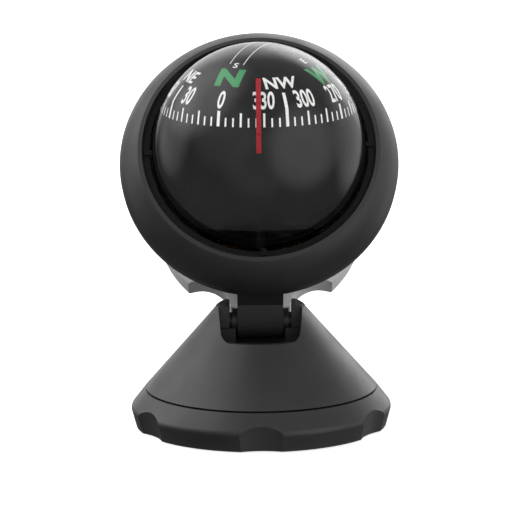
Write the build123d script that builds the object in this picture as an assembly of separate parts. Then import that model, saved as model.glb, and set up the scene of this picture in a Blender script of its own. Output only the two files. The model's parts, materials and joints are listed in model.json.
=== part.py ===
"""Dash-mount ball compass: a liquid-filled globe in a tilting head on a swivelling cone.

Frame: +Z up, origin on the underside of the adhesive pad, front of the compass facing -Y.
All lengths are in millimetres and all angles in degrees.
"""
from build123d import *
import os
from math import cos, sin, radians, sqrt, tan

# ---------------------------------------------------------------- driving dimensions
# base
PAD_RADIUS = 20.0
PAD_THICK = 1.2
FOOT_Z = 0.3
FOOT_RADIUS = 27.2
WAIST_RADIUS = 28.3
WAIST_Z = 4.4
WAIST_ROUND = 1.4
SEAM_Z = 8.4
SEAM_GAP = 0.35
SCALLOPS = 6
SCALLOP_DEPTH = 1.1
SCALLOP_CUTTER_R = 12.0
SCALLOP_LEAN = 12.0
BASE_WALL = 3.0
DECK_BOTTOM = 6.3
DECK_TOP = 8.0
PLATE_THICK = 1.6
PLATE_SCREWS = 3
PLATE_SCREW_RING = 15.0
# pedestal
CONE_SLOPE = 0.88
CONE_APEX = 37.0
CONE_WALL = 2.6
CONE_ROOF = 16.4
EAR_TOP = 26.6
EAR_ROUND = 0.9
SLOT_HALF = 6.7
WELL_FLOOR = 18.4
POCKET_HALF_LOW = 8.3
POCKET_HALF_TOP = 9.5
POCKET_FLOOR = 20.5
POCKET_TOP = 30.0
POCKET_LIP = 1.3
POCKET_CORNER = 2.0
SHELF_HALF = 5.35
SHELF_TOP = 21.9
SHELF_FRONT_Y = -4.4
EAR_FRONT_Y = -2.9
HUB_RADIUS = 10.0
SPIGOT_RADIUS = 5.0
SPIGOT_END = 6.0
SWIVEL_CLEARANCE = 0.06
# hinge
HINGE_Z = 22.7
BARREL_RADIUS = 3.6
BARREL_HALF = 4.93
BOSS_RADIUS = 2.8
BOSS_HALF = 6.1
SHOULDER_RADIUS = 2.0
SHOULDER_HALF = 6.65
PIN_RADIUS = 1.25
PIN_HALF = 9.0
PIN_HOLE_HALF = 9.2
HINGE_CLEARANCE = 0.05
NECK_FRONT_Y = -4.6
NECK_BACK_Y = 3.4
# head: s runs forward along the head axis from the globe's centre, r is the distance from it
GLOBE_Z = 60.4
HEAD_ELEVATION = 31.5
GLOBE_RADIUS = 22.8
GLOBE_WALL = 1.2
FLANGE_RADIUS = 24.4
DOME_FLANGE_S = (-2.0, -1.0)
SEAL_S = (-2.5, -2.0)
BOWL_FLANGE_S = (-3.6, -2.5)
RETAINER_S = (-1.0, -0.2)
RETAINER_INNER = 23.5
RETAINER_LUGS = 4
BEZEL_BORE = 24.6
LIP_INNER = 25.1
LIP_OUTER = 26.0
LIP_S = 0.5
RIM_RADIUS = 30.2
RIM_FRONT_S = -7.4
RIM_BACK_S = -9.8
RIM_ROUND = 0.4
BEZEL_BACK_S = -10.6
SPIGOT_BORE = 25.0
SPIGOT_S = -6.0
BOWL_BORE = 23.1
# rear housing and corrector
HOUSING_FRONT_R = 26.2
HOUSING_BACK_R = 19.2
HOUSING_BACK_S = -36.4
HOUSING_WALL = 1.7
SPINDLE_RADIUS = 4.0
SPINDLE_END_S = -41.2
CORRECTOR_S = (-44.0, -36.9)
CORRECTOR_RADIUS = 23.4
CORRECTOR_NOTCH_DEPTH = 3.6
CORRECTOR_NOTCH_HALF = 13.5
CORRECTOR_WALL = 2.2
CORRECTOR_LOBES = 6
# card
CARD_RADIUS = 19.2
CARD_WALL = 0.8
CARD_RIM_LATITUDE = 47.5
CARD_BAND_LOW = (18.104, 6.4)
CARD_BAND_HIGH = (17.9, 10.6)
CARD_TOP_RADIUS = 20.8
SPIDER_Z = (2.0, 3.0)
HUB_OUTER = 4.6
CUP_RADIUS = 3.0
CUP_Z = (-1.0, 2.8)
CUP_SOCKET = 1.75
STONE_RADIUS = 1.6
STONE_BOTTOM = -0.35
STONE_CONE_HALF_ANGLE = 50.0
TIP_RADIUS = 0.2
TIP_SEAT = 0.25
POST_RADIUS = 1.2
FLUID_INNER = 21.1
# lubber line, in degrees from the head axis, positive towards the top of the head
LUBBER_LOW = -25.5
LUBBER_HIGH = 16.3
LUBBER_WIDTH = 1.05
LUBBER_THICK = 0.2

# ---------------------------------------------------------------- derived places
AXIS = Vector(0, -cos(radians(HEAD_ELEVATION)), sin(radians(HEAD_ELEVATION)))
GLOBE = Vector(0, 0, GLOBE_Z)
HEAD = Plane(origin=GLOBE, x_dir=(1, 0, 0), z_dir=AXIS)
BOWL_INNER = GLOBE_RADIUS - GLOBE_WALL
PLATE_BOTTOM = PAD_THICK
PLATE_TOP = PAD_THICK + PLATE_THICK
PLATE_RADIUS = FOOT_RADIUS - BASE_WALL - 1.4


def cone_radius(z):
    """Outer radius of the pedestal cone at height z."""
    return CONE_SLOPE * (CONE_APEX - z)


# ---------------------------------------------------------------- helpers
def turned(points):
    """Solid of revolution about Z from a closed (radius, height) outline."""
    outline = Plane.XZ * make_face(Polyline(*points, close=True))
    return revolve(outline, Axis.Z)


def tube(outer, inner, low, high):
    """Plain ring about Z between two heights."""
    return turned([(inner, low), (outer, low), (outer, high), (inner, high)])


def disc(radius, low, high):
    """Plain round disc about Z between two heights."""
    return Pos(0, 0, (low + high) / 2) * Cylinder(radius, high - low)


def in_head(shape):
    """Place a shape drawn about its own Z axis onto the head axis."""
    return HEAD.location * shape


def at_globe(shape):
    """Place an upright shape at the globe's centre."""
    return Pos(*GLOBE) * shape


def sphere(radius):
    return Sphere(radius)


def along_x(radius, start, end):
    """Cylinder along X on the hinge axis."""
    middle = (start + end) / 2
    return Pos(middle, 0, HINGE_Z) * Rot(0, 90, 0) * Cylinder(radius, abs(end - start))


def around(shape, count, first=0.0):
    """Copies of a shape spaced evenly round Z."""
    return [Rot(0, 0, first + 360 / count * i) * shape for i in range(count)]


def save(name, shape):
    """Write one sub-part, as a single solid or a group of separate solids."""
    if isinstance(shape, (list, tuple)):
        shape = Compound(children=[s for item in shape for s in item.solids()])
    export_step(shape, f"parts/{name}.step")


# ---------------------------------------------------------------- base
def adhesive_pad():
    return disc(PAD_RADIUS, 0, PAD_THICK)


def scallop_cutter():
    """Leaning cylinder that takes one full-height scallop out of the lower band."""
    reach = WAIST_RADIUS - SCALLOP_DEPTH + SCALLOP_CUTTER_R
    cutter = Rot(SCALLOP_LEAN, 0, 0) * Cylinder(SCALLOP_CUTTER_R, 60)
    return Pos(0, -reach, WAIST_Z) * cutter


def base_ring():
    inner = FOOT_RADIUS - BASE_WALL
    seam_top = SEAM_Z - SEAM_GAP / 2
    seam_radius = cone_radius(seam_top)
    ring = turned([
        (inner, FOOT_Z), (FOOT_RADIUS, FOOT_Z), (WAIST_RADIUS, WAIST_Z),
        (seam_radius, seam_top), (inner - 1.6, seam_top), (inner - 1.6, DECK_TOP),
        (SPIGOT_RADIUS + SWIVEL_CLEARANCE, DECK_TOP), (SPIGOT_RADIUS + SWIVEL_CLEARANCE, DECK_BOTTOM),
        (inner - 1.6, DECK_BOTTOM), (inner, DECK_BOTTOM - 1.6),
    ])
    waist = [e for e in ring.edges().filter_by(GeomType.CIRCLE)
             if abs(e.radius - WAIST_RADIUS) < 0.01]
    ring = fillet(waist, WAIST_ROUND)
    for cutter in around(scallop_cutter(), SCALLOPS):
        ring -= cutter
    boss = disc(2.4, PLATE_TOP, DECK_BOTTOM) - disc(0.9, PLATE_TOP, DECK_BOTTOM)
    for placed in around(Pos(0, PLATE_SCREW_RING, 0) * boss, PLATE_SCREWS):
        ring += placed
    return ring


def base_plate():
    plate = disc(PLATE_RADIUS, PLATE_BOTTOM, PLATE_TOP)
    plate += tube(PLATE_RADIUS, PAD_RADIUS + 0.2, FOOT_Z + 0.1, PLATE_BOTTOM)
    hole = disc(1.1, PLATE_BOTTOM, PLATE_TOP) + disc(1.9, PLATE_BOTTOM, PLATE_BOTTOM + 0.8)
    for placed in around(Pos(0, PLATE_SCREW_RING, 0) * hole, PLATE_SCREWS):
        plate -= placed
    return plate


def plate_screw():
    head = disc(1.8, PLATE_BOTTOM + 0.05, PLATE_BOTTOM + 0.8) - disc(0.7, PLATE_BOTTOM, PLATE_BOTTOM + 0.5)
    shank = disc(0.9, PLATE_BOTTOM + 0.8, DECK_BOTTOM - 0.4)
    return head + shank


def glide_washer():
    return tube(HUB_RADIUS - 0.4, SPIGOT_RADIUS + 0.3, DECK_TOP, DECK_TOP + 0.6)


# ---------------------------------------------------------------- pedestal
def pocket_prism(back):
    """Tapering front pocket with round lower corners, reaching from the front to the depth back."""
    outline = make_face(Polyline(
        (-POCKET_HALF_LOW, POCKET_FLOOR), (POCKET_HALF_LOW, POCKET_FLOOR),
        (POCKET_HALF_TOP, POCKET_TOP), (-POCKET_HALF_TOP, POCKET_TOP), close=True))
    outline = fillet(outline.vertices().sort_by(Axis.Y)[:2], POCKET_CORNER)
    return Pos(0, back, 0) * extrude(Plane.XZ * outline, 20)


def pocket():
    """Pocket in front of the hinge, deeper behind a thin lip, with a shelf beside the barrel."""
    within = turned([
        (0, WELL_FLOOR), (cone_radius(WELL_FLOOR) - POCKET_LIP, WELL_FLOOR),
        (cone_radius(POCKET_TOP) - POCKET_LIP, POCKET_TOP), (0, POCKET_TOP),
    ])
    length = 20.0
    height = POCKET_TOP - WELL_FLOOR
    trench = Pos(0, SHELF_FRONT_Y - length / 2, WELL_FLOOR + height / 2)
    trench *= Box(2 * POCKET_HALF_LOW, length, height)
    upper = pocket_prism(EAR_FRONT_Y) & (Pos(0, 0, SHELF_TOP + length) * Box(60, 60, 2 * length))
    return pocket_prism(SHELF_FRONT_Y) + (trench & within) + upper


def hinge_slot():
    """Space between the ears: full width behind the shelf, narrower beside the barrel."""
    height = 20.0
    depth = 40.0
    middle_z = WELL_FLOOR + height / 2
    wide = Pos(0, EAR_FRONT_Y + depth / 2, middle_z) * Box(2 * SLOT_HALF, depth, height)
    narrow = Pos(0, SHELF_FRONT_Y, middle_z) * Box(2 * SHELF_HALF, 8, height)
    above = Pos(0, 0, SHELF_TOP + height / 2) * Box(2 * SLOT_HALF, depth, height)
    back_floor = Pos(0, BARREL_RADIUS + 1.0 + depth / 2, WELL_FLOOR)
    back_floor *= Box(2 * SLOT_HALF, depth, 2 * (POCKET_FLOOR - WELL_FLOOR))
    return wide + narrow + above - back_floor


def ear_round(side):
    """Waste to cut off one ear so that its inner top edge is round."""
    middle_x = side * (SLOT_HALF + EAR_ROUND)
    middle_z = EAR_TOP - EAR_ROUND
    block = Pos(middle_x - side * EAR_ROUND / 2, 0, middle_z + EAR_ROUND / 2)
    block *= Box(EAR_ROUND, 20, EAR_ROUND)
    return block - Pos(middle_x, 0, middle_z) * Rot(90, 0, 0) * Cylinder(EAR_ROUND, 24)


def pedestal_cone():
    bottom = SEAM_Z + SEAM_GAP / 2
    ear_side = EAR_TOP - EAR_ROUND
    cone = turned([
        (0, bottom), (cone_radius(bottom), bottom), (cone_radius(ear_side), ear_side),
        (cone_radius(ear_side) - 0.35, EAR_TOP - 0.35), (cone_radius(ear_side) - 0.9, EAR_TOP), (0, EAR_TOP),
    ])
    cavity_top_radius = cone_radius(CONE_ROOF) - CONE_WALL
    cone -= turned([
        (0, bottom), (cone_radius(bottom) - CONE_WALL, bottom),
        (cavity_top_radius, CONE_ROOF), (0, CONE_ROOF),
    ])
    cone -= hinge_slot()
    cone -= pocket()
    for side in (-1, 1):
        cone -= ear_round(side)
    hub = disc(HUB_RADIUS, DECK_TOP + 0.65, CONE_ROOF) + disc(SPIGOT_RADIUS, SPIGOT_END, DECK_TOP + 0.65)
    cone += hub
    cone -= disc(1.5, SPIGOT_END, CONE_ROOF - 1)
    return cone - along_x(PIN_RADIUS + HINGE_CLEARANCE, -PIN_HOLE_HALF, PIN_HOLE_HALF)


def hinge_pin():
    """Steel pin pressed through the barrel, with chamfered ends that snap into blind holes."""
    pin = along_x(PIN_RADIUS, -PIN_HALF, PIN_HALF)
    return chamfer(pin.edges().filter_by(GeomType.CIRCLE), 0.3)


def swivel_washer():
    return tube(7.5, 1.6, SPIGOT_END - 0.8, SPIGOT_END)


def swivel_screw():
    head = disc(2.9, SPIGOT_END - 2.4, SPIGOT_END - 0.8)
    for turn in (0, 90):
        head -= Pos(0, 0, SPIGOT_END - 2.4) * Rot(0, 0, turn) * Box(3.6, 0.7, 1.4)
    return head + disc(1.5, SPIGOT_END - 0.8, CONE_ROOF - 2)


# ---------------------------------------------------------------- head
def bezel_body():
    """Flared ring that frames the globe, turned about the head axis."""
    outer = [
        Line((LIP_INNER, LIP_S), (LIP_OUTER, LIP_S - 0.2)),
        ThreePointArc((LIP_OUTER, LIP_S - 0.2), (28.75, -3.2), (RIM_RADIUS, RIM_FRONT_S)),
        Polyline(
            (RIM_RADIUS, RIM_FRONT_S), (RIM_RADIUS - 0.1, RIM_BACK_S), (RIM_RADIUS - 1.0, BEZEL_BACK_S),
            (SPIGOT_BORE, BEZEL_BACK_S), (SPIGOT_BORE, SPIGOT_S), (BOWL_BORE, SPIGOT_S),
            (BOWL_BORE, BOWL_FLANGE_S[0]), (BEZEL_BORE, BOWL_FLANGE_S[0]),
            (BEZEL_BORE, RETAINER_S[1]), (LIP_INNER, LIP_S),
        ),
    ]
    ring = revolve(Plane.XZ * make_face(Curve() + outer), Axis.Z)
    rim = [e for e in ring.edges().filter_by(GeomType.CIRCLE) if e.radius > RIM_RADIUS - 0.5]
    return in_head(fillet(rim, RIM_ROUND))


def bezel():
    """Bezel ring with the hinge neck and barrel moulded under it."""
    ring = bezel_body()
    neck_top = 36.0
    side = make_face(Polyline(
        (BARREL_RADIUS, HINGE_Z), (NECK_BACK_Y, neck_top), (NECK_FRONT_Y - 5.0, neck_top),
        (NECK_FRONT_Y - 2.6, 31.0), (NECK_FRONT_Y + 0.6, 27.0), (-BARREL_RADIUS, HINGE_Z), close=True))
    neck = extrude(Plane.YZ * side, BARREL_HALF, both=True)
    neck += along_x(BARREL_RADIUS, -BARREL_HALF, BARREL_HALF)
    neck += along_x(BOSS_RADIUS, -BOSS_HALF, BOSS_HALF)
    neck += along_x(SHOULDER_RADIUS, -SHOULDER_HALF, SHOULDER_HALF)
    around_housing = HOUSING_FRONT_R + 0.15
    keep_out = in_head(turned([
        (0, BEZEL_BACK_S - 20), (around_housing, BEZEL_BACK_S - 20), (around_housing, BEZEL_BACK_S),
        (SPIGOT_BORE, BEZEL_BACK_S), (SPIGOT_BORE, SPIGOT_S), (BOWL_BORE, SPIGOT_S),
        (BOWL_BORE, 6), (0, 6),
    ]))
    body = ring + (neck - keep_out)
    return body - along_x(PIN_RADIUS, -SHOULDER_HALF, SHOULDER_HALF)


def retaining_ring():
    ring = tube(BEZEL_BORE, RETAINER_INNER, *RETAINER_S)
    lug = Pos(0, RETAINER_INNER + 0.3, RETAINER_S[1]) * Box(1.1, 1.6, 0.8)
    for placed in around(lug, RETAINER_LUGS, first=2.0):
        ring += placed
    return in_head(ring)


def half_globe(front):
    """Hemispherical shell on the front or the rear of the globe's equator plane."""
    shell = sphere(GLOBE_RADIUS) - sphere(BOWL_INNER)
    depth = 2 * GLOBE_RADIUS
    if front:
        return shell & (Pos(0, 0, DOME_FLANGE_S[0] + depth / 2) * Box(60, 60, depth))
    return shell & (Pos(0, 0, SEAL_S[0] - depth / 2) * Box(60, 60, depth))


def front_dome():
    flange = tube(FLANGE_RADIUS, GLOBE_RADIUS - 0.3, *DOME_FLANGE_S)
    return in_head(half_globe(True) + flange)


def capsule_seal():
    return in_head(tube(FLANGE_RADIUS - 0.2, BOWL_INNER, *SEAL_S))


def rear_bowl():
    flange = tube(FLANGE_RADIUS, GLOBE_RADIUS - 0.4, *BOWL_FLANGE_S)
    port = disc(7.5, -24.4, -20.6) - sphere(BOWL_INNER)
    bowl = half_globe(False) + flange + port
    bowl -= disc(4.5, -26, -18)
    bowl -= fill_plug_place(disc(1.5, -GLOBE_RADIUS - 1, -BOWL_INNER + 1))
    return in_head(bowl)


def fill_plug_place(shape):
    """Turn a shape from the back of the globe up to the filling hole."""
    return Rot(-48, 0, 0) * shape


def fill_plug():
    head = disc(2.8, -GLOBE_RADIUS - 1.2, -GLOBE_RADIUS + 0.1) - sphere(GLOBE_RADIUS)
    shank = disc(1.5, -GLOBE_RADIUS - 0.2, -BOWL_INNER)
    slot = Pos(0, 0, -GLOBE_RADIUS - 1.2) * Box(4.0, 0.6, 1.0)
    return in_head(fill_plug_place(head + shank - slot))


def expansion_diaphragm():
    """Rubber disc with one soft bead that lets the liquid swell with heat."""
    rubber = disc(7.5, -25.0, -24.4)
    bead = Pos(0, 0, -24.7) * Torus(3.0, 0.55)
    return in_head(rubber + bead)


def diaphragm_cover():
    cover = tube(7.5, 4.5, -26.2, -25.0) + tube(8.3, 7.5, -26.2, -24.0)
    return in_head(cover + disc(4.5, -26.9, -26.2) + tube(4.5, 3.9, -26.2, -25.9) - disc(0.8, -27, -26))


def damping_fluid():
    """Outer layer of the liquid, which the turning card never sweeps."""
    layer = sphere(BOWL_INNER) - sphere(FLUID_INNER)
    post_hole = Pos(0, 0, -BOWL_INNER) * Cylinder(POST_RADIUS + 2.0, 6)
    return at_globe(layer - post_hole)


def lubber_line():
    """Thin red strip bonded to the outside of the dome, in the head's middle plane."""
    shell = sphere(GLOBE_RADIUS + LUBBER_THICK) - sphere(GLOBE_RADIUS)
    slab = Box(LUBBER_WIDTH, 60, 60)
    far = 40.0
    corner_low = (far * sin(radians(LUBBER_LOW)), far * cos(radians(LUBBER_LOW)))
    corner_high = (far * sin(radians(LUBBER_HIGH)), far * cos(radians(LUBBER_HIGH)))
    wedge = Plane.YZ * make_face(Polyline((0, 0), corner_low, corner_high, close=True))
    sector = extrude(wedge, LUBBER_WIDTH, both=True)
    return in_head(shell & slab & sector)


def pivot_post():
    """Upright post from the bottom of the rear bowl to just under the card's pivot."""
    post = disc(POST_RADIUS, -BOWL_INNER, -4.0)
    foot = turned([
        (0, -BOWL_INNER - 1), (3.0, -BOWL_INNER - 1), (3.0, -20.6), (POST_RADIUS, -19.4), (0, -19.4),
    ])
    body = (post + foot) & sphere(BOWL_INNER)
    return at_globe(body - disc(0.45, -7.0, -4.0))


def pivot_needle():
    """Hardened needle whose tip is the point the card balances on."""
    needle = turned([(0, -7.0), (0.45, -7.0), (0.45, -2.2), (TIP_RADIUS * 0.75, -0.13), (0, -0.13)])
    return at_globe(needle + sphere(TIP_RADIUS))


def rear_housing():
    """Light grey shell behind the globe, with the spindle that carries the corrector ring."""
    middle = (HOUSING_FRONT_R - 2.2, -24.0)
    outer = make_face(Curve() + [
        Line((0, BEZEL_BACK_S), (HOUSING_FRONT_R, BEZEL_BACK_S)),
        ThreePointArc((HOUSING_FRONT_R, BEZEL_BACK_S), middle, (HOUSING_BACK_R, HOUSING_BACK_S)),
        Line((HOUSING_BACK_R, HOUSING_BACK_S), (0, HOUSING_BACK_S)),
        Line((0, HOUSING_BACK_S), (0, BEZEL_BACK_S)),
    ])
    w = HOUSING_WALL
    inner = make_face(Curve() + [
        Line((0, BEZEL_BACK_S), (HOUSING_FRONT_R - w, BEZEL_BACK_S)),
        ThreePointArc((HOUSING_FRONT_R - w, BEZEL_BACK_S), (middle[0] - w, middle[1]),
                      (HOUSING_BACK_R - w, HOUSING_BACK_S + w)),
        Line((HOUSING_BACK_R - w, HOUSING_BACK_S + w), (0, HOUSING_BACK_S + w)),
        Line((0, HOUSING_BACK_S + w), (0, BEZEL_BACK_S)),
    ])
    shell = revolve(Plane.XZ * outer, Axis.Z) - revolve(Plane.XZ * inner, Axis.Z)
    shell += tube(SPIGOT_BORE - SWIVEL_CLEARANCE, SPIGOT_BORE - w, BEZEL_BACK_S - 2, SPIGOT_S)
    shell += disc(SPINDLE_RADIUS, SPINDLE_END_S, HOUSING_BACK_S + w)
    shell -= disc(1.25, SPINDLE_END_S, HOUSING_BACK_S + 6)
    return in_head(shell)


# ---------------------------------------------------------------- corrector
def corrector_ring():
    """Six-lobed grip ring that turns the corrector magnets about the head axis."""
    back, front = CORRECTOR_S
    ring = disc(CORRECTOR_RADIUS, back, front)
    ring = fillet(ring.edges().filter_by(GeomType.CIRCLE).sort_by(Axis.Z)[0], 1.2)
    half_chord = CORRECTOR_RADIUS * sin(radians(CORRECTOR_NOTCH_HALF))
    sagitta = CORRECTOR_RADIUS * (cos(radians(CORRECTOR_NOTCH_HALF)) - 1) + CORRECTOR_NOTCH_DEPTH
    notch_radius = (half_chord ** 2 + sagitta ** 2) / (2 * sagitta)
    notch_centre = CORRECTOR_RADIUS - CORRECTOR_NOTCH_DEPTH + notch_radius
    notch = Pos(0, notch_centre, (back + front) / 2) * Cylinder(notch_radius, 20)
    for cutter in around(notch, CORRECTOR_LOBES, first=30.0):
        ring -= cutter
    ring -= disc(17.0, back + CORRECTOR_WALL, front)
    ring += disc(SPINDLE_RADIUS + 2.2, back + CORRECTOR_WALL, front)
    ring -= disc(SPINDLE_RADIUS + SWIVEL_CLEARANCE, SPINDLE_END_S - 0.1, front)
    ring -= disc(1.6, back, SPINDLE_END_S)
    ring -= disc(2.75, back, back + 1.95)
    ring -= disc(5.0, back, back + 0.9)
    for cutter in magnet_pair(0.0):
        ring -= cutter
    return in_head(ring)


def magnet_pair(gap):
    """Two bar magnets side by side in the back wall of the corrector ring."""
    back = CORRECTOR_S[0] + CORRECTOR_WALL
    bar = Box(2.5 - gap, 9.0 - gap, 1.6)
    return [Pos(side * 10.0, 0, back) * bar for side in (-1, 1)]


def corrector_magnets():
    return [in_head(bar) for bar in magnet_pair(0.0)]


def corrector_screw():
    back = CORRECTOR_S[0]
    head = disc(2.6, back + 0.9, back + 1.9)
    shank = disc(1.25, back + 1.9, HOUSING_BACK_S - 0.2)
    cross = [Pos(0, 0, back + 0.9) * Rot(0, 0, turn) * Box(3.0, 0.6, 1.0) for turn in (0, 90)]
    return in_head(head + shank - cross[0] - cross[1])


def corrector_cap():
    return in_head(disc(4.9, CORRECTOR_S[0] + 0.05, CORRECTOR_S[0] + 0.85))


# ---------------------------------------------------------------- card and pivot
def card_outline(inset):
    """Edges of the card's section: a low sphere, a steep printed band and a wider dome on top."""
    low_radius = CARD_RADIUS - inset
    top_radius = CARD_TOP_RADIUS - inset
    rim_z = -CARD_RADIUS * sin(radians(CARD_RIM_LATITUDE))
    rim = (sqrt(low_radius ** 2 - rim_z ** 2), rim_z)
    band_low = (CARD_BAND_LOW[0] * low_radius / CARD_RADIUS, CARD_BAND_LOW[1] * low_radius / CARD_RADIUS)
    high_r = CARD_BAND_HIGH[0] - inset
    band_high = (high_r, sqrt(top_radius ** 2 - high_r ** 2))
    return rim, [
        ThreePointArc(rim, (low_radius * cos(radians(-12)), low_radius * sin(radians(-12))), band_low),
        Line(band_low, band_high),
        ThreePointArc(band_high, (top_radius * cos(radians(60)), top_radius * sin(radians(60))),
                      (0, top_radius)),
    ]


def card_shell():
    outer_rim, outer = card_outline(0)
    inner_rim, inner = card_outline(CARD_WALL)
    ends = [Line(inner_rim, outer_rim), Line((0, CARD_TOP_RADIUS - CARD_WALL), (0, CARD_TOP_RADIUS))]
    section = Plane.XZ * make_face(Curve() + outer + inner + ends)
    return at_globe(revolve(section, Axis.Z))


def card_spider():
    """Spoked plate that carries the card shell and holds the pivot cup in its hub."""
    plate = disc(CARD_RADIUS, *SPIDER_Z) & sphere(CARD_RADIUS - CARD_WALL)
    for hole in around(Pos(0, 12.6, 0) * disc(2.6, *SPIDER_Z), 6, first=30.0):
        plate -= hole
    hub = disc(HUB_OUTER, CUP_Z[0], CUP_Z[1] + 0.85)
    bore = disc(CUP_RADIUS + HINGE_CLEARANCE, CUP_Z[0], CUP_Z[1] + 0.05)
    return at_globe(plate + hub - bore)


def card_magnets():
    bars = []
    for side in (-1, 1):
        bar = Pos(side * 6.4, 0, SPIDER_Z[0] - 1.0) * Box(2.0, 15.0, 2.0)
        bars.append(at_globe(bar))
    return bars


def card_weight():
    """Brass trim ring low in the card that keeps it upright."""
    inner = CARD_RADIUS - CARD_WALL
    ring = tube(15.6, 12.9, -12.2, -11.0) & sphere(inner)
    return at_globe(ring)


def jewel_cup():
    cup = disc(CUP_RADIUS, *CUP_Z) - sphere(CUP_SOCKET)
    return at_globe(cup)


def jewel_stone():
    """Sapphire cup bearing that sits on the needle."""
    stone = sphere(STONE_RADIUS) & (Pos(0, 0, STONE_BOTTOM + 5) * Box(10, 10, 10))
    depth = 3.0
    mouth = depth * tan(radians(STONE_CONE_HALF_ANGLE))
    cavity = turned([(0, 0), (mouth, -depth), (0, -depth)])
    return at_globe(stone - cavity - sphere(TIP_SEAT))


# ---------------------------------------------------------------- write the sub-parts
def main():
    os.makedirs("parts", exist_ok=True)
    save("adhesive_pad", adhesive_pad())
    save("base_plate", base_plate())
    save("base_ring", base_ring())
    save("plate_screws", around(Pos(0, PLATE_SCREW_RING, 0) * plate_screw(), PLATE_SCREWS))
    save("glide_washer", glide_washer())
    save("pedestal_cone", pedestal_cone())
    save("swivel_washer", swivel_washer())
    save("swivel_screw", swivel_screw())
    save("hinge_pin", hinge_pin())
    save("bezel", bezel())
    save("retaining_ring", retaining_ring())
    save("front_dome", front_dome())
    save("capsule_seal", capsule_seal())
    save("rear_bowl", rear_bowl())
    save("fill_plug", fill_plug())
    save("expansion_diaphragm", expansion_diaphragm())
    save("diaphragm_cover", diaphragm_cover())
    save("damping_fluid", damping_fluid())
    save("lubber_line", lubber_line())
    save("pivot_post", pivot_post())
    save("pivot_needle", pivot_needle())
    save("rear_housing", rear_housing())
    save("corrector_ring", corrector_ring())
    save("corrector_magnets", corrector_magnets())
    save("corrector_screw", corrector_screw())
    save("corrector_cap", corrector_cap())
    save("card_shell", card_shell())
    save("card_spider", card_spider())
    save("card_magnets", card_magnets())
    save("card_weight", card_weight())
    save("jewel_cup", jewel_cup())
    save("jewel_stone", jewel_stone())


main()
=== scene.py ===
"""Looks for the dash-mount ball compass: materials, the printed card and the filled globe.

Everything is in metres, in the CAD frame: +Z up, the reader of the card at -Y.
Angles on the card are compass bearings and latitudes, in degrees.
"""
import json
from math import asin, cos, degrees, pi, radians, sin

import bmesh
import bpy
from mathutils import Matrix, Quaternion, Vector


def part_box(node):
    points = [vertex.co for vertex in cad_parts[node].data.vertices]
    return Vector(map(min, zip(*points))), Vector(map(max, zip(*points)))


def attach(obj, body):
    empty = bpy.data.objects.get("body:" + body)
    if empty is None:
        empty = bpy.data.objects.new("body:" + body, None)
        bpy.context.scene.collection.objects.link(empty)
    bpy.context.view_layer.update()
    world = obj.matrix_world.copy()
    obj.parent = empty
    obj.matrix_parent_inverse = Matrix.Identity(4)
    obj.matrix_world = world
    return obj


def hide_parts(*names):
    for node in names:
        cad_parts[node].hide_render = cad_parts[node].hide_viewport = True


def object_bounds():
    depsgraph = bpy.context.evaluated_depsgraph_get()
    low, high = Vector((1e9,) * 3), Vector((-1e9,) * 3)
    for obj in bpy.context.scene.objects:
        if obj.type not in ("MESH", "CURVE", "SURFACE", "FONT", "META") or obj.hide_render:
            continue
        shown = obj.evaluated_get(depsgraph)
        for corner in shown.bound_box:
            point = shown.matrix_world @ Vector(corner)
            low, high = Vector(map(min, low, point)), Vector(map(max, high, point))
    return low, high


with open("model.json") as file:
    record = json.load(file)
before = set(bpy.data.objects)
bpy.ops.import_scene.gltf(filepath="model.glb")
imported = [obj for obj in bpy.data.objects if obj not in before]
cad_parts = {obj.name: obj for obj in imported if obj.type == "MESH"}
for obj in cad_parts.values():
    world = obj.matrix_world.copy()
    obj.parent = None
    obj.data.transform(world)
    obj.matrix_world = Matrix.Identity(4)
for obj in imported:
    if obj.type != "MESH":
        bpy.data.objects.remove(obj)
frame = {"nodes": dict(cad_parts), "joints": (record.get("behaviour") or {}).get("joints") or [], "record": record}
CAD_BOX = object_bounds()
MM = 0.001

# ---------------------------------------------------------------- driving values
# camera and studio: angles in degrees, lens and sensor in millimetres, the rest in metres
CAMERA_ELEVATION = 10.6
CAMERA_DISTANCE = 0.651
CAMERA_LENS = 207.1
CAMERA_SENSOR = 36.0
CAMERA_CLIP = 0.01
AIM_HEIGHT_SHARE = 0.4337
AIM_SIDE = 0.55 * MM
CAMERA_ROLL = 0.5
FLOOR_RADIUS = 1.2
WALL_CURVE = 0.4
WALL_STEPS = 16
WALL_HEIGHT = 2.0
FLOOR_SEGMENTS = 192
FLOOR_GLOW = 0.75
# soft lights in the surroundings: direction, angle up to which each is full, angle where it is gone,
# and strength
SOFT_LIGHTS = (
    ((0.0, 0.0, 1.0), 30, 100, 0.46),
    ((0.0, 0.0, -1.0), 20, 110, 0.14),
    ((-0.70, 0.10, 0.70), 6, 45, 1.65),
    ((-0.88, 0.35, 0.20), 4, 38, 0.8),
    ((0.86, 0.46, 0.05), 4, 38, 0.9),
    ((0.0, 0.95, 0.30), 8, 48, 1.2),
    ((-0.60, -0.70, 0.30), 4, 45, 0.3),
    ((0.40, 0.85, 0.42), 2, 28, 1.3),
    ((0.76, -0.62, 0.12), 0, 52, 1.2),
    ((0.0, -1.0, -0.15), 8, 45, 0.26),
)
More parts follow.
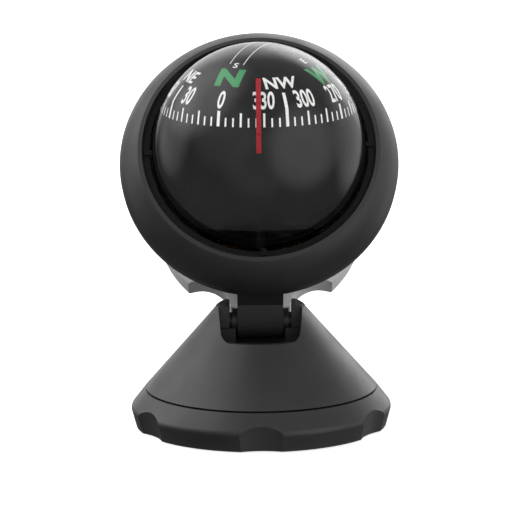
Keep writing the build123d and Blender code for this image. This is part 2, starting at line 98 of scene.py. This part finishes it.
# card print: feet and tops are latitudes in degrees, widths of text are shares of the font's own width,
# and weights thicken its strokes, in shares of its size
TICK_STEP = 5
TICK_FOOT = 20.9
TICK_TOPS = {5: 25.9, 15: 28.6, 90: 29.4, 45: 40.6}
TICK_WIDTHS = {5: 0.36 * MM, 15: 0.44 * MM, 90: 0.66 * MM, 45: 0.66 * MM}
NUMERAL_STEP = 30
NUMERAL_FOOT = 30.6
NUMERAL_HEIGHT = 4.05 * MM
NUMERAL_WIDTH = 0.56
NUMERAL_WEIGHT = 0.022
CARDINALS = {0: "N", 90: "E", 180: "S", 270: "W"}
CARDINAL_FEET = {"N": 44.7, "E": 42.1, "S": 44.7, "W": 42.1}
CARDINAL_HEIGHT = 4.7 * MM
CARDINAL_WIDTHS = {"N": 1.25, "E": 1.25, "S": 1.2, "W": 0.84}
CARDINAL_WEIGHT = 0.05
INTERCARDINALS = {45: "NE", 135: "SE", 225: "SW", 315: "NW"}
INTERCARDINAL_FOOT = 43.3
INTERCARDINAL_HEIGHT = 2.95 * MM
INTERCARDINAL_WIDTH = 0.95
INTERCARDINAL_WEIGHT = 0.03
# small letters for reading the card from above: they name the true side of the card
TOP_LETTERS = {0: "S", 90: "W", 180: "N", 270: "E"}
TOP_LETTER_FOOT = 58.9
TOP_LETTER_HEIGHT = 1.6 * MM
TOP_LETTER_WIDTH = 1.1
TOP_LETTER_WEIGHT = 0.02
TOP_LINE_OFFSET = 1.5 * MM
TOP_LINE_REACH = 9.7 * MM
TOP_LINE_WIDTH = 0.17 * MM
TOP_LINE_STEPS = 60
# the ink's depth below and height above the card's surface, and the fineness of its mesh
INK_SINK = 0.03 * MM
INK_PROUD = 0.03 * MM
INK_EDGE = 0.45 * MM
INK_PASSES = 5
TEXT_RESOLUTION = 6
# bearing that faces the reader
HEADING = 333.6
# refraction of the dome and the oil together
LIQUID_IOR = 1.42
# the dome's flange along the head axis, from the globe's centre
FLANGE_FRONT = -1.0 * MM
FLANGE_BACK = -2.0 * MM
GLOBE_GAP = 0.02 * MM
GLOBE_SEGMENTS = 256
GLOBE_ARC_STEPS = 96
# rays onto the card start this many card radii from the globe's centre
RAY_START = 1.5
# most of a noise's area lies between these values
NOISE_LOW = 0.3
NOISE_HIGH = 0.7

# ---------------------------------------------------------------- places, from the frame
def joint(name):
    """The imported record's joint of that name."""
    return next(j for j in frame["joints"] if j["name"] == name)


DOME_LOW, DOME_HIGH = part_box("front_dome")
FLUID_LOW, FLUID_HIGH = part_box("damping_fluid")
CARD_LOW, CARD_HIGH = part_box("card_shell")
CARD_SHELL = frame["nodes"]["card_shell"]
GLOBE = Vector(joint("card_spin")["pos_m"])
CARD_RADIUS = CARD_HIGH.z - GLOBE.z
HEAD_AXIS = Vector(joint("corrector_turn")["axis"])


def head_matrix():
    """Turns local +Z onto the head axis and local +Y towards the top of the head."""
    side = Vector((1, 0, 0))
    up = HEAD_AXIS.cross(side)
    turn = Matrix((side, up, HEAD_AXIS)).transposed().to_4x4()
    return Matrix.Translation(GLOBE) @ turn


# ---------------------------------------------------------------- node helpers
class Nodes:
    """A material's node tree with short calls for what every material here needs."""

    def __init__(self, name):
        self.material = bpy.data.materials.new(name)
        self.material.use_nodes = True
        self.tree = self.material.node_tree
        self.shader = self.tree.nodes["Principled BSDF"]
        self.place = self.tree.nodes.new("ShaderNodeTexCoord").outputs["Object"]

    def set(self, **values):
        """Set uniform values straight on the shader's own sockets."""
        for key, value in values.items():
            self.shader.inputs[key.replace("_", " ")].default_value = value
        return self

    def noise(self, scale, detail=3.0, roughness=0.5):
        """Noise in the piece's own space, with a scale per metre."""
        node = self.tree.nodes.new("ShaderNodeTexNoise")
        node.inputs["Scale"].default_value = scale
        node.inputs["Detail"].default_value = detail
        node.inputs["Roughness"].default_value = roughness
        self.tree.links.new(self.place, node.inputs["Vector"])
        return node.outputs["Fac"]

    def ramp(self, value, low, high, out_low, out_high):
        """Map a value from one range to another."""
        node = self.tree.nodes.new("ShaderNodeMapRange")
        ranges = {"From Min": low, "From Max": high, "To Min": out_low, "To Max": out_high}
        for key, number in ranges.items():
            node.inputs[key].default_value = number
        self.tree.links.new(value, node.inputs["Value"])
        return node.outputs["Result"]

    def vary(self, noise, out_low, out_high):
        """Spread the middle part of a noise over a range."""
        return self.ramp(noise, NOISE_LOW, NOISE_HIGH, out_low, out_high)

    def mix(self, factor, first, second):
        """Blend two colours, each a colour or a socket."""
        node = self.tree.nodes.new("ShaderNodeMix")
        node.data_type = "RGBA"
        self.tree.links.new(factor, node.inputs[0])
        for socket, value in ((node.inputs[6], first), (node.inputs[7], second)):
            if isinstance(value, tuple):
                socket.default_value = (*value, 1.0)
            else:
                self.tree.links.new(value, socket)
        return node.outputs[2]

    def edges(self, low, high):
        """Zero on flats and one on outer edges, for wear."""
        node = self.tree.nodes.new("ShaderNodeNewGeometry")
        return self.ramp(node.outputs["Pointiness"], low, high, 0.0, 1.0)

    def link(self, key, value):
        """Drive one of the shader's sockets."""
        self.tree.links.new(value, self.shader.inputs[key])
        return self

    def bump(self, height, strength, distance):
        """Roughen the surface by a height, over a distance in metres."""
        node = self.tree.nodes.new("ShaderNodeBump")
        node.inputs["Strength"].default_value = strength
        node.inputs["Distance"].default_value = distance
        self.tree.links.new(height, node.inputs["Height"])
        self.tree.links.new(node.outputs["Normal"], self.shader.inputs["Normal"])
        return self


# ---------------------------------------------------------------- materials
def scaled(colour, factor):
    """A colour made lighter or darker, up to white."""
    return tuple(min(1.0, c * factor) for c in colour)


def moulded_plastic(name, colour, rough, wear=0.35, mottle=0.1):
    """Satin moulded plastic: fine spark-eroded grain, patchy sheen and slightly rubbed edges."""
    m = Nodes(name)
    m.set(Specular_IOR_Level=0.5)
    patches = m.noise(scale=140.0, detail=4.0)
    grain = m.noise(scale=2600.0, detail=2.0, roughness=0.6)
    body = m.mix(m.vary(patches, 0.0, 1.0), scaled(colour, 1 - mottle), scaled(colour, 1 + mottle))
    rubbed = tuple(min(1.0, c * 1.5 + 0.01) for c in colour)
    share = m.ramp(m.edges(0.53, 0.6), 0.0, 1.0, 0.0, wear)
    m.link("Base Color", m.mix(share, body, rubbed))
    m.link("Roughness", m.vary(patches, rough - 0.06, rough + 0.06))
    return m.bump(grain, strength=0.12, distance=0.04 * MM).material


def gloss_plastic(name, colour, rough, shine=0.5):
    """Polished plastic with faint moulding waves and handling marks."""
    m = Nodes(name)
    m.set(Specular_IOR_Level=shine)
    waves = m.noise(scale=90.0, detail=2.0)
    marks = m.noise(scale=700.0, detail=5.0, roughness=0.7)
    m.link("Base Color", m.mix(waves, scaled(colour, 0.88), scaled(colour, 1.12)))
    m.link("Roughness", m.ramp(marks, 0.35, 0.75, rough * 0.7, rough * 1.5))
    return m.bump(waves, strength=0.05, distance=0.1 * MM).material


def metal(name, colour, rough):
    """Turned or plated metal with fine brushed variation."""
    m = Nodes(name)
    m.set(Metallic=1.0)
    grain = m.noise(scale=1500.0, detail=4.0, roughness=0.7)
    m.link("Base Color", m.mix(grain, scaled(colour, 0.8), colour))
    m.link("Roughness", m.vary(grain, rough * 0.7, rough * 1.3))
    return m.bump(grain, strength=0.1, distance=0.02 * MM).material


def rubber(name, colour):
    """Matt rubber or foam with a fine open texture."""
    m = Nodes(name)
    cells = m.noise(scale=1800.0, roughness=0.7)
    m.link("Base Color", m.mix(cells, scaled(colour, 0.7), scaled(colour, 1.3)))
    m.link("Roughness", m.vary(cells, 0.75, 0.95))
    return m.bump(cells, strength=0.4, distance=0.1 * MM).material


def ink(name, colour):
    """Screen-printed ink: slightly uneven cover over the black card."""
    m = Nodes(name)
    cover = m.noise(scale=1600.0, roughness=0.6)
    m.link("Base Color", m.mix(m.ramp(cover, 0.35, 0.6, 0.0, 1.0), scaled(colour, 0.86), colour))
    m.link("Roughness", m.vary(cover, 0.5, 0.65))
    return m.material


def filled_glass(name):
    """Clear acrylic and oil as one refracting body, with faint polishing marks on its skin."""
    m = Nodes(name)
    m.set(Base_Color=(1, 1, 1, 1), Transmission_Weight=1.0, IOR=LIQUID_IOR)
    haze = m.noise(scale=60.0, detail=4.0)
    m.link("Roughness", m.ramp(haze, 0.4, 0.75, 0.0, 0.012))
    return m.material


def ruby(name):
    """Clear red synthetic stone, polished where the needle turns on it."""
    m = Nodes(name)
    m.set(Base_Color=(0.6, 0.05, 0.1, 1), Transmission_Weight=0.6, IOR=1.76)
    m.link("Roughness", m.vary(m.noise(scale=900.0), 0.03, 0.1))
    return m.material


def make_materials():
    """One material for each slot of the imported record."""
    black = (0.02, 0.02, 0.0205)
    grey = (0.72, 0.72, 0.725)
    deep_black = (0.006, 0.006, 0.006)
    return {
        "pad_foam": rubber("pad_foam", (0.03, 0.03, 0.03)),
        "base_black": moulded_plastic("base_black", black, 0.42),
        "cone_black": moulded_plastic("cone_black", black, 0.42),
        "bezel_black": moulded_plastic("bezel_black", black, 0.42),
        "retainer_black": gloss_plastic("retainer_black", deep_black, 0.4, shine=0.2),
        "bowl_black": gloss_plastic("bowl_black", deep_black, 0.2),
        "housing_grey": moulded_plastic("housing_grey", grey, 0.45, wear=0.1, mottle=0.02),
        "corrector_grey": moulded_plastic("corrector_grey", grey, 0.4, wear=0.15, mottle=0.02),
        "seal_rubber": rubber("seal_rubber", (0.012, 0.012, 0.012)),
        "washer_nylon": moulded_plastic("washer_nylon", (0.7, 0.69, 0.65), 0.5, wear=0.0),
        "lubber_red": gloss_plastic("lubber_red", (0.42, 0.012, 0.025), 0.35),
        "screw_steel": metal("screw_steel", (0.55, 0.55, 0.56), 0.35),
        "magnet_grey": metal("magnet_grey", (0.42, 0.42, 0.44), 0.3),
        "brass_plain": metal("brass_plain", (0.75, 0.52, 0.24), 0.3),
        "brass_blacked": gloss_plastic("brass_blacked", (0.004, 0.004, 0.004), 0.6, shine=0.1),
        "jewel_ruby": ruby("jewel_ruby"),
        "card_black": gloss_plastic("card_black", (0.010, 0.010, 0.0105), 0.5, shine=0.06),
        "dome_clear": filled_glass("dome_clear"),
        "fluid_clear": filled_glass("fluid_clear"),
        "print_white": ink("print_white", (0.95, 0.95, 0.93)),
        "print_green": ink("print_green", (0.026, 0.32, 0.10)),
    }


MATERIALS = make_materials()


def dress_cad():
    """Give every CAD node the material of its slot."""
    slots = {s["node"]: s["material_slot"] for s in frame["record"]["subparts"]}
    for name, node in frame["nodes"].items():
        node.data.materials.clear()
        node.data.materials.append(MATERIALS[slots[name]])


# ---------------------------------------------------------------- mesh helpers
def finish_piece(name, bm, slot, body, smooth=True):
    """Turn a bmesh into a piece with its material, slot and body."""
    bmesh.ops.recalc_face_normals(bm, faces=bm.faces)
    mesh = bpy.data.meshes.new(name)
    bm.to_mesh(mesh)
    bm.free()
    mesh.materials.append(MATERIALS[slot])
    for face in mesh.polygons:
        face.use_smooth = smooth
    piece = bpy.data.objects.new(name, mesh)
    bpy.context.scene.collection.objects.link(piece)
    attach(piece, body)
    return piece


def lathe(outline, segments):
    """Surface turned about local Z from (radius, height) points, in metres; a zero radius is a pole."""
    bm = bmesh.new()
    rings = []
    for radius, height in outline:
        if radius == 0:
            rings.append([bm.verts.new((0, 0, height))])
            continue
        ring = []
        for i in range(segments):
            a = 2 * pi * i / segments
            ring.append(bm.verts.new((radius * cos(a), radius * sin(a), height)))
        rings.append(ring)
    for low, high in zip(rings, rings[1:]):
        for i in range(segments):
            j = (i + 1) % segments
            corners = [low[i % len(low)], low[j % len(low)]]
            corners += [high[j % len(high)], high[i % len(high)]]
            unique = list(dict.fromkeys(corners))
            if len(unique) > 2:
                bm.faces.new(unique)
    return bm


# ---------------------------------------------------------------- globe
def arc_points(radius, start, end):
    """Points of an arc about the globe's centre, between two angles from its middle plane."""
    step = (end - start) / GLOBE_ARC_STEPS
    angles = [radians(start + step * i) for i in range(GLOBE_ARC_STEPS + 1)]
    return [(radius * cos(a), radius * sin(a)) for a in angles]


def globe_outline():
    """Half outline of the dome with the liquid behind it, from the front pole to the rear one."""
    outer = DOME_HIGH.z - GLOBE.z
    inner = (FLUID_HIGH.x - FLUID_LOW.x) / 2 - GLOBE_GAP
    flange = (DOME_HIGH.x - DOME_LOW.x) / 2 - GLOBE_GAP
    front = FLANGE_FRONT - GLOBE_GAP
    back = FLANGE_BACK + GLOBE_GAP
    points = arc_points(outer, 90.0, degrees(asin(front / outer)))
    points += [(flange, front), (flange, back)]
    points += arc_points(inner, degrees(asin(back / inner)), -90.0)
    points[0] = (0.0, outer)
    points[-1] = (0.0, -inner)
    return points


def filled_globe():
    """The clear dome and the liquid in the globe, as one closed refracting body."""
    bm = lathe(globe_outline(), GLOBE_SEGMENTS)
    bm.transform(head_matrix())
    globe = finish_piece("filled_globe", bm, "dome_clear", "head")
    globe.visible_shadow = False
    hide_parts("front_dome", "damping_fluid")
    return globe


# ---------------------------------------------------------------- card print
def on_card(bearing, latitude, height):
    """Point at a bearing and latitude on the card, at a height above its surface."""
    turn = radians(HEADING - bearing)
    lat = radians(latitude)
    return above_card(Vector((cos(lat) * sin(turn), -cos(lat) * cos(turn), sin(lat))), height)


def above_card(away, height):
    """Point in a direction from the globe's centre, at a height above the card's outside."""
    found, place, _, _ = CARD_SHELL.ray_cast(GLOBE + away * CARD_RADIUS * RAY_START, -away)
    if not found:
        raise RuntimeError("no card surface in that direction")
    return place + away * height


def wrap(flat, bearing, foot):
    """Bend a flat mesh (x to the right, y up, metres) onto the card, centred on a bearing."""
    bm = bmesh.new()
    bm.from_mesh(flat)
    bmesh.ops.triangulate(bm, faces=bm.faces)
    for _ in range(INK_PASSES):
        long_edges = [e for e in bm.edges if e.calc_length() > INK_EDGE]
        if not long_edges:
            break
        bmesh.ops.subdivide_edges(bm, edges=long_edges, cuts=1)
        bmesh.ops.triangulate(bm, faces=bm.faces)
    for vert in bm.verts:
        latitude = foot + degrees(vert.co.y / CARD_RADIUS)
        swing = degrees(vert.co.x / (CARD_RADIUS * cos(radians(latitude))))
        vert.co = on_card(bearing - swing, latitude, -INK_SINK)
    return thicken(bm)


def thicken(bm):
    """Give a skin on the card an even thickness outward and close it."""
    made = bmesh.ops.extrude_face_region(bm, geom=list(bm.faces))
    top = [v for v in made["geom"] if isinstance(v, bmesh.types.BMVert)]
    for vert in top:
        away = (vert.co - GLOBE).normalized()
        vert.co += away * (INK_SINK + INK_PROUD)
    return bm


def flat_text(body, height, width, weight):
    """Flat mesh of a line of text, centred in x with its foot on y = 0, scaled to a height."""
    curve = bpy.data.curves.new("line", "FONT")
    curve.body = body
    curve.offset = weight
    curve.resolution_u = TEXT_RESOLUTION
    holder = bpy.data.objects.new("line", curve)
    mesh = bpy.data.meshes.new_from_object(holder)
    bpy.data.objects.remove(holder)
    xs = [v.co.x for v in mesh.vertices]
    ys = [v.co.y for v in mesh.vertices]
    scale = height / (max(ys) - min(ys))
    middle = (max(xs) + min(xs)) / 2
    foot = min(ys)
    for vert in mesh.vertices:
        vert.co = ((vert.co.x - middle) * scale * width, (vert.co.y - foot) * scale, 0)
    return mesh


def flat_bar(width, height):
    """Flat upright bar centred in x with its foot on y = 0."""
    mesh = bpy.data.meshes.new("bar")
    w = width / 2
    mesh.from_pydata([(-w, 0, 0), (w, 0, 0), (w, height, 0), (-w, height, 0)], [], [(0, 1, 2, 3)])
    return mesh


def gather(parts):
    """Join several bmeshes into one."""
    whole = bmesh.new()
    for part in parts:
        carrier = bpy.data.meshes.new("carrier")
        part.to_mesh(carrier)
        part.free()
        whole.from_mesh(carrier)
        bpy.data.meshes.remove(carrier)
    return whole


def tick_rank(bearing):
    """Rank of a bearing's tick, which is its key in TICK_TOPS and TICK_WIDTHS."""
    if bearing % 90 == 45:
        return 45
    for rank in (90, 15):
        if bearing % rank == 0:
            return rank
    return 5


def print_row(name, slot, marks):
    """One printed piece from (bearing, flat mesh, latitude of its foot) marks."""
    parts = [wrap(flat, bearing, foot) for bearing, flat, foot in marks]
    return finish_piece(name, gather(parts), slot, "card", smooth=False)


def tick_marks():
    """Tick marks all round the card, in the lengths and widths of their ranks."""
    marks = []
    for bearing in range(0, 360, TICK_STEP):
        rank = tick_rank(bearing)
        height = radians(TICK_TOPS[rank] - TICK_FOOT) * CARD_RADIUS
        marks.append((bearing, flat_bar(TICK_WIDTHS[rank], height), TICK_FOOT))
    return print_row("card_ticks", "print_white", marks)


def numerals():
    """Bearings in degrees above the ticks."""
    marks = []
    for bearing in range(0, 360, NUMERAL_STEP):
        text = flat_text(str(bearing), NUMERAL_HEIGHT, NUMERAL_WIDTH, NUMERAL_WEIGHT)
        marks.append((bearing, text, NUMERAL_FOOT))
    return print_row("card_numerals", "print_white", marks)


def cardinal_letters():
    """Large green letters of the four main points."""
    marks = []
    for bearing, letter in CARDINALS.items():
        text = flat_text(letter, CARDINAL_HEIGHT, CARDINAL_WIDTHS[letter], CARDINAL_WEIGHT)
        marks.append((bearing, text, CARDINAL_FEET[letter]))
    return print_row("card_cardinals", "print_green", marks)


def letter_row(name, letters, foot, height, width, weight):
    """A row of white letters, all on one latitude."""
    marks = [(bearing, flat_text(text, height, width, weight), foot) for bearing, text in letters.items()]
    return print_row(name, "print_white", marks)


def top_lines():
    """Two thin parallel lines over the top of the card, along its north-south diameter."""
    bm = bmesh.new()
    turn = Matrix.Rotation(radians(HEADING), 4, "Z")
    for side in (-1, 1):
        previous = None
        for i in range(TOP_LINE_STEPS + 1):
            along = TOP_LINE_REACH * (2 * i / TOP_LINE_STEPS - 1)
            pair = []
            for edge in (-0.5, 0.5):
                x = side * TOP_LINE_OFFSET + edge * TOP_LINE_WIDTH
                flat = turn @ Vector((x, along, 0))
                flat.z = (CARD_RADIUS ** 2 - flat.x ** 2 - flat.y ** 2) ** 0.5
                pair.append(bm.verts.new(above_card(flat.normalized(), -INK_SINK)))
            if previous:
                bm.faces.new((previous[0], previous[1], pair[1], pair[0]))
            previous = pair
    return finish_piece("card_top_lines", thicken(bm), "print_white", "card", smooth=False)


# ---------------------------------------------------------------- studio
def floor_material():
    """Matt white that glows a little, so that it shows pale without lighting anything."""
    m = Nodes("studio_floor")
    m.set(Base_Color=(0.92, 0.92, 0.92, 1), Emission_Color=(1, 1, 1, 1), Emission_Strength=FLOOR_GLOW)
    m.link("Roughness", m.vary(m.noise(scale=5.0), 0.7, 0.8))
    return m.material


def studio_floor():
    """Round pale floor that curves up into a wall; it neither lights nor shades the compass."""
    outline = [(0.0, 0.0), (FLOOR_RADIUS, 0.0)]
    for i in range(1, WALL_STEPS + 1):
        a = radians(90 * i / WALL_STEPS)
        outline.append((FLOOR_RADIUS + WALL_CURVE * sin(a), WALL_CURVE * (1 - cos(a))))
    outline.append((FLOOR_RADIUS + WALL_CURVE, WALL_HEIGHT))
    bm = lathe(outline, FLOOR_SEGMENTS)
    mesh = bpy.data.meshes.new("studio_floor")
    bm.to_mesh(mesh)
    bm.free()
    for face in mesh.polygons:
        face.use_smooth = True
    mesh.materials.append(floor_material())
    floor = bpy.data.objects.new("studio_floor", mesh)
    floor.visible_diffuse = False
    floor.visible_glossy = False
    floor.visible_shadow = False
    bpy.context.scene.collection.objects.link(floor)


def glow(tree, direction, toward, narrow, wide, strength):
    """Brightness of one soft light in the surroundings, fading from a narrow to a wide angle."""
    dot = tree.nodes.new("ShaderNodeVectorMath")
    dot.operation = "DOT_PRODUCT"
    dot.inputs[1].default_value = Vector(toward).normalized()
    tree.links.new(direction, dot.inputs[0])
    fade = tree.nodes.new("ShaderNodeMapRange")
    fade.interpolation_type = "SMOOTHERSTEP"
    fade.inputs["From Min"].default_value = cos(radians(wide))
    fade.inputs["From Max"].default_value = cos(radians(narrow))
    fade.inputs["To Max"].default_value = strength
    tree.links.new(dot.outputs["Value"], fade.inputs["Value"])
    return fade.outputs["Result"]


def studio_lights():
    """Light the scene with the sum of the soft lights, and show its tones unchanged."""
    world = bpy.data.worlds.new("studio")
    world.use_nodes = True
    tree = world.node_tree
    direction = tree.nodes.new("ShaderNodeTexCoord").outputs["Generated"]
    total = None
    for toward, narrow, wide, strength in SOFT_LIGHTS:
        part = glow(tree, direction, toward, narrow, wide, strength)
        if total is None:
            total = part
            continue
        join = tree.nodes.new("ShaderNodeMath")
        join.operation = "ADD"
        tree.links.new(total, join.inputs[0])
        tree.links.new(part, join.inputs[1])
        total = join.outputs[0]
    tree.links.new(total, tree.nodes["Background"].inputs["Strength"])
    tree.nodes["Background"].inputs["Color"].default_value = (1, 1, 1, 1)
    bpy.context.scene.world = world
    bpy.context.scene.view_settings.view_transform = "Standard"


def camera():
    """Camera at the photograph's viewing angle, aimed at the compass."""
    top = CAD_BOX[1].z
    target = Vector((AIM_SIDE, 0, top * AIM_HEIGHT_SHARE))
    elevation = radians(CAMERA_ELEVATION)
    place = target + CAMERA_DISTANCE * Vector((0, -cos(elevation), sin(elevation)))
    data = bpy.data.cameras.new("camera")
    data.lens = CAMERA_LENS
    data.sensor_width = CAMERA_SENSOR
    data.clip_start = CAMERA_CLIP
    eye = bpy.data.objects.new("camera", data)
    eye.location = place
    level = (target - place).to_track_quat("-Z", "Y")
    eye.rotation_euler = (level @ Quaternion((0, 0, 1), radians(-CAMERA_ROLL))).to_euler()
    bpy.context.scene.collection.objects.link(eye)
    bpy.context.scene.camera = eye


camera()
studio_lights()
studio_floor()
dress_cad()
filled_globe()
tick_marks()
numerals()
cardinal_letters()
letter_row(
    "card_intercardinals", INTERCARDINALS, INTERCARDINAL_FOOT,
    INTERCARDINAL_HEIGHT, INTERCARDINAL_WIDTH, INTERCARDINAL_WEIGHT,
)
letter_row(
    "card_top_letters", TOP_LETTERS, TOP_LETTER_FOOT,
    TOP_LETTER_HEIGHT, TOP_LETTER_WIDTH, TOP_LETTER_WEIGHT,
)
top_lines()
